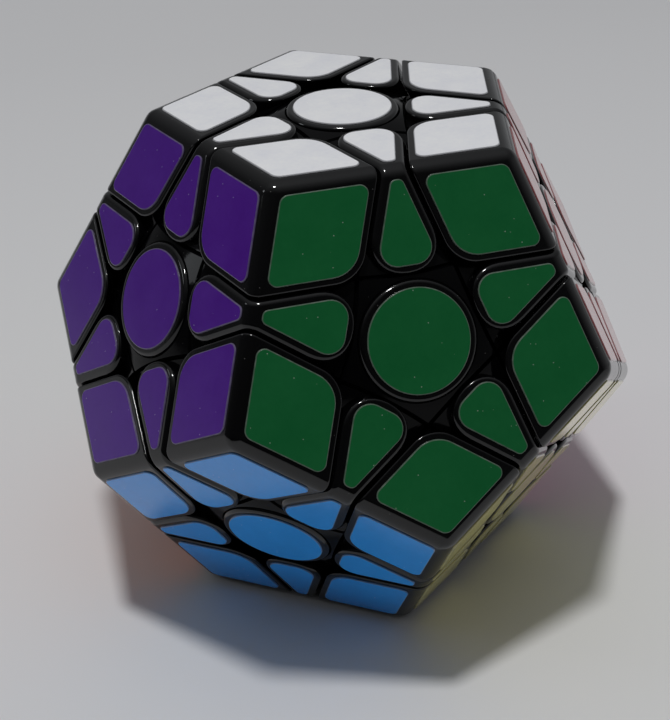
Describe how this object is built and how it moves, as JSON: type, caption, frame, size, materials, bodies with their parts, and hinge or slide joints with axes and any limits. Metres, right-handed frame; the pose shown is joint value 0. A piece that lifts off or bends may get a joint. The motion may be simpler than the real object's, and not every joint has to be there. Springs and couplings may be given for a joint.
{
  "type": "dodecahedron twisty puzzle",
  "caption": "Hand puzzle shaped as a dodecahedron: glossy black blocks with coloured stickers, whose pentagonal faces each turn about an inner core.",
  "frame": {"origin": "middle of the core, where the axes of all the faces meet", "axes": "+Z out of the white face, with the grey face down; -Y is the level direction towards the green face"},
  "size_m": [0.0828, 0.0868, 0.0712],
  "materials": {
    "black_plastic": "gloss",
    "core_plastic": "satin",
    "screw_steel": "satin",
    "sticker_white": "satin",
    "sticker_grey": "satin",
    "sticker_green": "satin",
    "sticker_red": "satin",
    "sticker_blue": "satin",
    "sticker_yellow": "satin",
    "sticker_purple": "satin",
    "sticker_cream": "satin",
    "sticker_pink": "satin",
    "sticker_lime": "satin",
    "sticker_orange": "satin",
    "sticker_light_blue": "satin"
  },
  "bodies": {
    "core": {"core": "core_plastic"},
    "centre_white": {"centre_white": "black_plastic"},
    "centre_grey": {"centre_grey": "black_plastic"},
    "centre_green": {"centre_green": "black_plastic"},
    "centre_red": {"centre_red": "black_plastic"},
    "centre_yellow": {"centre_yellow": "black_plastic"},
    "centre_purple": {"centre_purple": "black_plastic"},
    "centre_pink": {"centre_pink": "black_plastic"},
    "centre_lime": {"centre_lime": "black_plastic"},
    "centre_light_blue": {"centre_light_blue": "black_plastic"},
    "edge_white_green": {"edge_white_green": "black_plastic"},
    "edge_white_red": {"edge_white_red": "black_plastic"},
    "edge_white_blue": {"edge_white_blue": "black_plastic"},
    "edge_white_yellow": {"edge_white_yellow": "black_plastic"},
    "edge_white_purple": {"edge_white_purple": "black_plastic"},
    "edge_grey_cream": {"edge_grey_cream": "black_plastic"},
    "edge_grey_pink": {"edge_grey_pink": "black_plastic"},
    "edge_grey_lime": {"edge_grey_lime": "black_plastic"},
    "edge_grey_orange": {"edge_grey_orange": "black_plastic"},
    "edge_grey_light_blue": {"edge_grey_light_blue": "black_plastic"},
    "edge_green_red": {"edge_green_red": "black_plastic"},
    "edge_green_purple": {"edge_green_purple": "black_plastic"},
    "edge_green_cream": {"edge_green_cream": "black_plastic"},
    "edge_green_light_blue": {"edge_green_light_blue": "black_plastic"},
    "edge_red_blue": {"edge_red_blue": "black_plastic"},
    "edge_red_cream": {"edge_red_cream": "black_plastic"},
    "edge_red_pink": {"edge_red_pink": "black_plastic"},
    "edge_blue_yellow": {"edge_blue_yellow": "black_plastic"},
    "edge_blue_pink": {"edge_blue_pink": "black_plastic"},
    "edge_blue_lime": {"edge_blue_lime": "black_plastic"},
    "edge_yellow_purple": {"edge_yellow_purple": "black_plastic"},
    "edge_yellow_lime": {"edge_yellow_lime": "black_plastic"},
    "edge_yellow_orange": {"edge_yellow_orange": "black_plastic"},
    "edge_purple_orange": {"edge_purple_orange": "black_plastic"},
    "edge_purple_light_blue": {"edge_purple_light_blue": "black_plastic"},
    "edge_cream_pink": {"edge_cream_pink": "black_plastic"},
    "edge_cream_light_blue": {"edge_cream_light_blue": "black_plastic"},
    "edge_pink_lime": {"edge_pink_lime": "black_plastic"},
    "edge_lime_orange": {"edge_lime_orange": "black_plastic"},
    "edge_orange_light_blue": {"edge_orange_light_blue": "black_plastic"},
    "corner_white_green_red": {"corner_white_green_red": "black_plastic"},
    "corner_white_green_purple": {"corner_white_green_purple": "black_plastic"},
    "corner_white_red_blue": {"corner_white_red_blue": "black_plastic"},
    "corner_white_blue_yellow": {"corner_white_blue_yellow": "black_plastic"},
    "corner_white_yellow_purple": {"corner_white_yellow_purple": "black_plastic"},
    "corner_grey_cream_pink": {"corner_grey_cream_pink": "black_plastic"},
    "corner_grey_cream_light_blue": {"corner_grey_cream_light_blue": "black_plastic"},
    "corner_grey_pink_lime": {"corner_grey_pink_lime": "black_plastic"},
    "corner_grey_lime_orange": {"corner_grey_lime_orange": "black_plastic"},
    "corner_grey_orange_light_blue": {"corner_grey_orange_light_blue": "black_plastic"},
    "corner_green_red_cream": {"corner_green_red_cream": "black_plastic"},
    "corner_green_purple_light_blue": {"corner_green_purple_light_blue": "black_plastic"},
    "corner_green_cream_light_blue": {"corner_green_cream_light_blue": "black_plastic"},
    "corner_red_blue_pink": {"corner_red_blue_pink": "black_plastic"},
    "corner_red_cream_pink": {"corner_red_cream_pink": "black_plastic"},
    "corner_blue_yellow_lime": {"corner_blue_yellow_lime": "black_plastic"},
    "corner_blue_pink_lime": {"corner_blue_pink_lime": "black_plastic"},
    "corner_yellow_purple_orange": {"corner_yellow_purple_orange": "black_plastic"},
    "corner_yellow_lime_orange": {"corner_yellow_lime_orange": "black_plastic"},
    "corner_purple_orange_light_blue": {"corner_purple_orange_light_blue": "black_plastic"}
  },
  "joints": [
    {"name": "turn_01_white", "type": "hinge", "parent": "core", "child": "centre_white", "pos_m": [0, 0, 0], "axis": [0, 0, 1], "continuous": true},
    {"name": "turn_12_grey", "type": "hinge", "parent": "core", "child": "centre_grey", "pos_m": [0, 0, 0], "axis": [0, 0, -1], "range_deg": [-360, 360]},
    {"name": "turn_04_green", "type": "hinge", "parent": "core", "child": "centre_green", "pos_m": [0, 0, 0], "axis": [0, -0.8944, 0.4472], "range_deg": [-360, 360]},
    {"name": "turn_06_red", "type": "hinge", "parent": "core", "child": "centre_red", "pos_m": [0, 0, 0], "axis": [0.8507, -0.2764, 0.4472], "range_deg": [-360, 360]},
    {"name": "turn_08_yellow", "type": "hinge", "parent": "core", "child": "centre_yellow", "pos_m": [0, 0, 0], "axis": [-0.5257, 0.7236, 0.4472], "range_deg": [-360, 360]},
    {"name": "turn_05_purple", "type": "hinge", "parent": "core", "child": "centre_purple", "pos_m": [0, 0, 0], "axis": [-0.8507, -0.2764, 0.4472], "range_deg": [-360, 360]},
    {"name": "turn_03_pink", "type": "hinge", "parent": "core", "child": "centre_pink", "pos_m": [0, 0, 0], "axis": [0.8507, 0.2764, -0.4472], "continuous": true},
    {"name": "turn_10_lime", "type": "hinge", "parent": "core", "child": "centre_lime", "pos_m": [0, 0, 0], "axis": [0, 0.8944, -0.4472], "range_deg": [-360, 360]},
    {"name": "turn_02_light_blue", "type": "hinge", "parent": "core", "child": "centre_light_blue", "pos_m": [0, 0, 0], "axis": [-0.5257, -0.7236, -0.4472], "continuous": true},
    {"name": "green_turn_of_edge_white_green", "type": "hinge", "parent": "centre_white", "child": "edge_white_green", "pos_m": [0, 0, 0], "axis": [0, -0.8944, 0.4472], "range_deg": [-360, 360]},
    {"name": "red_turn_of_edge_white_red", "type": "hinge", "parent": "centre_white", "child": "edge_white_red", "pos_m": [0, 0, 0], "axis": [0.8507, -0.2764, 0.4472], "range_deg": [-360, 360]},
    {"name": "turn_09_blue", "type": "hinge", "parent": "centre_white", "child": "edge_white_blue", "pos_m": [0, 0, 0], "axis": [0.5257, 0.7236, 0.4472], "range_deg": [-360, 360]},
    {"name": "white_turn_of_edge_white_yellow", "type": "hinge", "parent": "centre_yellow", "child": "edge_white_yellow", "pos_m": [0, 0, 0], "axis": [0, 0, 1], "continuous": true},
    {"name": "white_turn_of_edge_white_purple", "type": "hinge", "parent": "centre_purple", "child": "edge_white_purple", "pos_m": [0, 0, 0], "axis": [0, 0, 1], "continuous": true},
    {"name": "turn_07_cream", "type": "hinge", "parent": "centre_grey", "child": "edge_grey_cream", "pos_m": [0, 0, 0], "axis": [0.5257, -0.7236, -0.4472], "range_deg": [-360, 360]},
    {"name": "pink_turn_of_edge_grey_pink", "type": "hinge", "parent": "centre_grey", "child": "edge_grey_pink", "pos_m": [0, 0, 0], "axis": [0.8507, 0.2764, -0.4472], "continuous": true},
    {"name": "grey_turn_of_edge_grey_lime", "type": "hinge", "parent": "centre_lime", "child": "edge_grey_lime", "pos_m": [0, 0, 0], "axis": [0, 0, -1], "range_deg": [-360, 360]},
    {"name": "turn_11_orange", "type": "hinge", "parent": "centre_grey", "child": "edge_grey_orange", "pos_m": [0, 0, 0], "axis": [-0.8507, 0.2764, -0.4472], "range_deg": [-360, 360]},
    {"name": "grey_turn_of_edge_grey_light_blue", "type": "hinge", "parent": "centre_light_blue", "child": "edge_grey_light_blue", "pos_m": [0, 0, 0], "axis": [0, 0, -1], "range_deg": [-360, 360]},
    {"name": "red_turn_of_edge_green_red", "type": "hinge", "parent": "centre_green", "child": "edge_green_red", "pos_m": [0, 0, 0], "axis": [0.8507, -0.2764, 0.4472], "range_deg": [-360, 360]},
    {"name": "purple_turn_of_edge_green_purple", "type": "hinge", "parent": "centre_green", "child": "edge_green_purple", "pos_m": [0, 0, 0], "axis": [-0.8507, -0.2764, 0.4472], "range_deg": [-360, 360]},
    {"name": "cream_turn_of_edge_green_cream", "type": "hinge", "parent": "centre_green", "child": "edge_green_cream", "pos_m": [0, 0, 0], "axis": [0.5257, -0.7236, -0.4472], "range_deg": [-360, 360]},
    {"name": "light_blue_turn_of_edge_green_light_blue", "type": "hinge", "parent": "centre_green", "child": "edge_green_light_blue", "pos_m": [0, 0, 0], "axis": [-0.5257, -0.7236, -0.4472], "continuous": true},
    {"name": "blue_turn_of_edge_red_blue", "type": "hinge", "parent": "centre_red", "child": "edge_red_blue", "pos_m": [0, 0, 0], "axis": [0.5257, 0.7236, 0.4472], "range_deg": [-360, 360]},
    {"name": "cream_turn_of_edge_red_cream", "type": "hinge", "parent": "centre_red", "child": "edge_red_cream", "pos_m": [0, 0, 0], "axis": [0.5257, -0.7236, -0.4472], "range_deg": [-360, 360]},
    {"name": "pink_turn_of_edge_red_pink", "type": "hinge", "parent": "centre_red", "child": "edge_red_pink", "pos_m": [0, 0, 0], "axis": [0.8507, 0.2764, -0.4472], "continuous": true},
    {"name": "blue_turn_of_edge_blue_yellow", "type": "hinge", "parent": "centre_yellow", "child": "edge_blue_yellow", "pos_m": [0, 0, 0], "axis": [0.5257, 0.7236, 0.4472], "range_deg": [-360, 360]},
    {"name": "blue_turn_of_edge_blue_pink", "type": "hinge", "parent": "centre_pink", "child": "edge_blue_pink", "pos_m": [0, 0, 0], "axis": [0.5257, 0.7236, 0.4472], "range_deg": [-360, 360]},
    {"name": "blue_turn_of_edge_blue_lime", "type": "hinge", "parent": "centre_lime", "child": "edge_blue_lime", "pos_m": [0, 0, 0], "axis": [0.5257, 0.7236, 0.4472], "range_deg": [-360, 360]},
    {"name": "yellow_turn_of_edge_yellow_purple", "type": "hinge", "parent": "centre_purple", "child": "edge_yellow_purple", "pos_m": [0, 0, 0], "axis": [-0.5257, 0.7236, 0.4472], "range_deg": [-360, 360]},
    {"name": "lime_turn_of_edge_yellow_lime", "type": "hinge", "parent": "centre_yellow", "child": "edge_yellow_lime", "pos_m": [0, 0, 0], "axis": [0, 0.8944, -0.4472], "range_deg": [-360, 360]},
    {"name": "orange_turn_of_edge_yellow_orange", "type": "hinge", "parent": "centre_yellow", "child": "edge_yellow_orange", "pos_m": [0, 0, 0], "axis": [-0.8507, 0.2764, -0.4472], "range_deg": [-360, 360]},
    {"name": "orange_turn_of_edge_purple_orange", "type": "hinge", "parent": "centre_purple", "child": "edge_purple_orange", "pos_m": [0, 0, 0], "axis": [-0.8507, 0.2764, -0.4472], "range_deg": [-360, 360]},
    {"name": "light_blue_turn_of_edge_purple_light_blue", "type": "hinge", "parent": "centre_purple", "child": "edge_purple_light_blue", "pos_m": [0, 0, 0], "axis": [-0.5257, -0.7236, -0.4472], "continuous": true},
    {"name": "cream_turn_of_edge_cream_pink", "type": "hinge", "parent": "centre_pink", "child": "edge_cream_pink", "pos_m": [0, 0, 0], "axis": [0.5257, -0.7236, -0.4472], "range_deg": [-360, 360]},
    {"name": "cream_turn_of_edge_cream_light_blue", "type": "hinge", "parent": "centre_light_blue", "child": "edge_cream_light_blue", "pos_m": [0, 0, 0], "axis": [0.5257, -0.7236, -0.4472], "range_deg": [-360, 360]},
    {"name": "lime_turn_of_edge_pink_lime", "type": "hinge", "parent": "centre_pink", "child": "edge_pink_lime", "pos_m": [0, 0, 0], "axis": [0, 0.8944, -0.4472], "range_deg": [-360, 360]},
    {"name": "orange_turn_of_edge_lime_orange", "type": "hinge", "parent": "centre_lime", "child": "edge_lime_orange", "pos_m": [0, 0, 0], "axis": [-0.8507, 0.2764, -0.4472], "range_deg": [-360, 360]},
    {"name": "orange_turn_of_edge_orange_light_blue", "type": "hinge", "parent": "centre_light_blue", "child": "edge_orange_light_blue", "pos_m": [0, 0, 0], "axis": [-0.8507, 0.2764, -0.4472], "range_deg": [-360, 360]},
    {"name": "red_turn_of_corner_white_green_red", "type": "hinge", "parent": "edge_white_green", "child": "corner_white_green_red", "pos_m": [0, 0, 0], "axis": [0.8507, -0.2764, 0.4472], "range_deg": [-360, 360]},
    {"name": "green_turn_of_corner_white_green_purple", "type": "hinge", "parent": "edge_white_purple", "child": "corner_white_green_purple", "pos_m": [0, 0, 0], "axis": [0, -0.8944, 0.4472], "range_deg": [-360, 360]},
    {"name": "blue_turn_of_corner_white_red_blue", "type": "hinge", "parent": "edge_white_red", "child": "corner_white_red_blue", "pos_m": [0, 0, 0], "axis": [0.5257, 0.7236, 0.4472], "range_deg": [-360, 360]},
    {"name": "blue_turn_of_corner_white_blue_yellow", "type": "hinge", "parent": "edge_white_yellow", "child": "corner_white_blue_yellow", "pos_m": [0, 0, 0], "axis": [0.5257, 0.7236, 0.4472], "range_deg": [-360, 360]},
    {"name": "white_turn_of_corner_white_yellow_purple", "type": "hinge", "parent": "edge_yellow_purple", "child": "corner_white_yellow_purple", "pos_m": [0, 0, 0], "axis": [0, 0, 1], "continuous": true},
    {"name": "cream_turn_of_corner_grey_cream_pink", "type": "hinge", "parent": "edge_grey_pink", "child": "corner_grey_cream_pink", "pos_m": [0, 0, 0], "axis": [0.5257, -0.7236, -0.4472], "range_deg": [-360, 360]},
    {"name": "cream_turn_of_corner_grey_cream_light_blue", "type": "hinge", "parent": "edge_grey_light_blue", "child": "corner_grey_cream_light_blue", "pos_m": [0, 0, 0], "axis": [0.5257, -0.7236, -0.4472], "range_deg": [-360, 360]},
    {"name": "pink_turn_of_corner_grey_pink_lime", "type": "hinge", "parent": "edge_grey_lime", "child": "corner_grey_pink_lime", "pos_m": [0, 0, 0], "axis": [0.8507, 0.2764, -0.4472], "continuous": true},
    {"name": "lime_turn_of_corner_grey_lime_orange", "type": "hinge", "parent": "edge_grey_orange", "child": "corner_grey_lime_orange", "pos_m": [0, 0, 0], "axis": [0, 0.8944, -0.4472], "range_deg": [-360, 360]},
    {"name": "grey_turn_of_corner_grey_orange_light_blue", "type": "hinge", "parent": "edge_orange_light_blue", "child": "corner_grey_orange_light_blue", "pos_m": [0, 0, 0], "axis": [0, 0, -1], "range_deg": [-360, 360]},
    {"name": "cream_turn_of_corner_green_red_cream", "type": "hinge", "parent": "edge_green_red", "child": "corner_green_red_cream", "pos_m": [0, 0, 0], "axis": [0.5257, -0.7236, -0.4472], "range_deg": [-360, 360]},
    {"name": "light_blue_turn_of_corner_green_purple_light_blue", "type": "hinge", "parent": "edge_green_purple", "child": "corner_green_purple_light_blue", "pos_m": [0, 0, 0], "axis": [-0.5257, -0.7236, -0.4472], "continuous": true},
    {"name": "cream_turn_of_corner_green_cream_light_blue", "type": "hinge", "parent": "edge_green_light_blue", "child": "corner_green_cream_light_blue", "pos_m": [0, 0, 0], "axis": [0.5257, -0.7236, -0.4472], "range_deg": [-360, 360]},
    {"name": "blue_turn_of_corner_red_blue_pink", "type": "hinge", "parent": "edge_red_pink", "child": "corner_red_blue_pink", "pos_m": [0, 0, 0], "axis": [0.5257, 0.7236, 0.4472], "range_deg": [-360, 360]},
    {"name": "pink_turn_of_corner_red_cream_pink", "type": "hinge", "parent": "edge_red_cream", "child": "corner_red_cream_pink", "pos_m": [0, 0, 0], "axis": [0.8507, 0.2764, -0.4472], "continuous": true},
    {"name": "blue_turn_of_corner_blue_yellow_lime", "type": "hinge", "parent": "edge_yellow_lime", "child": "corner_blue_yellow_lime", "pos_m": [0, 0, 0], "axis": [0.5257, 0.7236, 0.4472], "range_deg": [-360, 360]},
    {"name": "blue_turn_of_corner_blue_pink_lime", "type": "hinge", "parent": "edge_pink_lime", "child": "corner_blue_pink_lime", "pos_m": [0, 0, 0], "axis": [0.5257, 0.7236, 0.4472], "range_deg": [-360, 360]},
    {"name": "purple_turn_of_corner_yellow_purple_orange", "type": "hinge", "parent": "edge_yellow_orange", "child": "corner_yellow_purple_orange", "pos_m": [0, 0, 0], "axis": [-0.8507, -0.2764, 0.4472], "range_deg": [-360, 360]},
    {"name": "yellow_turn_of_corner_yellow_lime_orange", "type": "hinge", "parent": "edge_lime_orange", "child": "corner_yellow_lime_orange", "pos_m": [0, 0, 0], "axis": [-0.5257, 0.7236, 0.4472], "range_deg": [-360, 360]},
    {"name": "orange_turn_of_corner_purple_orange_light_blue", "type": "hinge", "parent": "edge_purple_light_blue", "child": "corner_purple_orange_light_blue", "pos_m": [0, 0, 0], "axis": [-0.8507, 0.2764, -0.4472], "range_deg": [-360, 360]}
  ],
  "couplings": [
    {"joint": "green_turn_of_edge_white_green", "follows": "turn_04_green", "ratio": 1},
    {"joint": "red_turn_of_edge_white_red", "follows": "turn_06_red", "ratio": 1},
    {"joint": "white_turn_of_edge_white_yellow", "follows": "turn_01_white", "ratio": 1},
    {"joint": "white_turn_of_edge_white_purple", "follows": "turn_01_white", "ratio": 1},
    {"joint": "pink_turn_of_edge_grey_pink", "follows": "turn_03_pink", "ratio": 1},
    {"joint": "grey_turn_of_edge_grey_lime", "follows": "turn_12_grey", "ratio": 1},
    {"joint": "grey_turn_of_edge_grey_light_blue", "follows": "turn_12_grey", "ratio": 1},
    {"joint": "red_turn_of_edge_green_red", "follows": "turn_06_red", "ratio": 1},
    {"joint": "purple_turn_of_edge_green_purple", "follows": "turn_05_purple", "ratio": 1},
    {"joint": "cream_turn_of_edge_green_cream", "follows": "turn_07_cream", "ratio": 1},
    {"joint": "light_blue_turn_of_edge_green_light_blue", "follows": "turn_02_light_blue", "ratio": 1},
    {"joint": "blue_turn_of_edge_red_blue", "follows": "turn_09_blue", "ratio": 1},
    {"joint": "cream_turn_of_edge_red_cream", "follows": "turn_07_cream", "ratio": 1},
    {"joint": "pink_turn_of_edge_red_pink", "follows": "turn_03_pink", "ratio": 1},
    {"joint": "blue_turn_of_edge_blue_yellow", "follows": "turn_09_blue", "ratio": 1},
    {"joint": "blue_turn_of_edge_blue_pink", "follows": "turn_09_blue", "ratio": 1},
    {"joint": "blue_turn_of_edge_blue_lime", "follows": "turn_09_blue", "ratio": 1},
    {"joint": "yellow_turn_of_edge_yellow_purple", "follows": "turn_08_yellow", "ratio": 1},
    {"joint": "lime_turn_of_edge_yellow_lime", "follows": "turn_10_lime", "ratio": 1},
    {"joint": "orange_turn_of_edge_yellow_orange", "follows": "turn_11_orange", "ratio": 1},
    {"joint": "orange_turn_of_edge_purple_orange", "follows": "turn_11_orange", "ratio": 1},
    {"joint": "light_blue_turn_of_edge_purple_light_blue", "follows": "turn_02_light_blue", "ratio": 1},
    {"joint": "cream_turn_of_edge_cream_pink", "follows": "turn_07_cream", "ratio": 1},
    {"joint": "cream_turn_of_edge_cream_light_blue", "follows": "turn_07_cream", "ratio": 1},
    {"joint": "lime_turn_of_edge_pink_lime", "follows": "turn_10_lime", "ratio": 1},
    {"joint": "orange_turn_of_edge_lime_orange", "follows": "turn_11_orange", "ratio": 1},
    {"joint": "orange_turn_of_edge_orange_light_blue", "follows": "turn_11_orange", "ratio": 1},
    {"joint": "red_turn_of_corner_white_green_red", "follows": "turn_06_red", "ratio": 1},
    {"joint": "green_turn_of_corner_white_green_purple", "follows": "turn_04_green", "ratio": 1},
    {"joint": "blue_turn_of_corner_white_red_blue", "follows": "turn_09_blue", "ratio": 1},
    {"joint": "blue_turn_of_corner_white_blue_yellow", "follows": "turn_09_blue", "ratio": 1},
    {"joint": "white_turn_of_corner_white_yellow_purple", "follows": "turn_01_white", "ratio": 1},
    {"joint": "cream_turn_of_corner_grey_cream_pink", "follows": "turn_07_cream", "ratio": 1},
    {"joint": "cream_turn_of_corner_grey_cream_light_blue", "follows": "turn_07_cream", "ratio": 1},
    {"joint": "pink_turn_of_corner_grey_pink_lime", "follows": "turn_03_pink", "ratio": 1},
    {"joint": "lime_turn_of_corner_grey_lime_orange", "follows": "turn_10_lime", "ratio": 1},
    {"joint": "grey_turn_of_corner_grey_orange_light_blue", "follows": "turn_12_grey", "ratio": 1},
    {"joint": "cream_turn_of_corner_green_red_cream", "follows": "turn_07_cream", "ratio": 1},
    {"joint": "light_blue_turn_of_corner_green_purple_light_blue", "follows": "turn_02_light_blue", "ratio": 1},
    {"joint": "cream_turn_of_corner_green_cream_light_blue", "follows": "turn_07_cream", "ratio": 1},
    {"joint": "blue_turn_of_corner_red_blue_pink", "follows": "turn_09_blue", "ratio": 1},
    {"joint": "pink_turn_of_corner_red_cream_pink", "follows": "turn_03_pink", "ratio": 1},
    {"joint": "blue_turn_of_corner_blue_yellow_lime", "follows": "turn_09_blue", "ratio": 1},
    {"joint": "blue_turn_of_corner_blue_pink_lime", "follows": "turn_09_blue", "ratio": 1},
    {"joint": "purple_turn_of_corner_yellow_purple_orange", "follows": "turn_05_purple", "ratio": 1},
    {"joint": "yellow_turn_of_corner_yellow_lime_orange", "follows": "turn_08_yellow", "ratio": 1},
    {"joint": "orange_turn_of_corner_purple_orange_light_blue", "follows": "turn_11_orange", "ratio": 1}
  ]
}
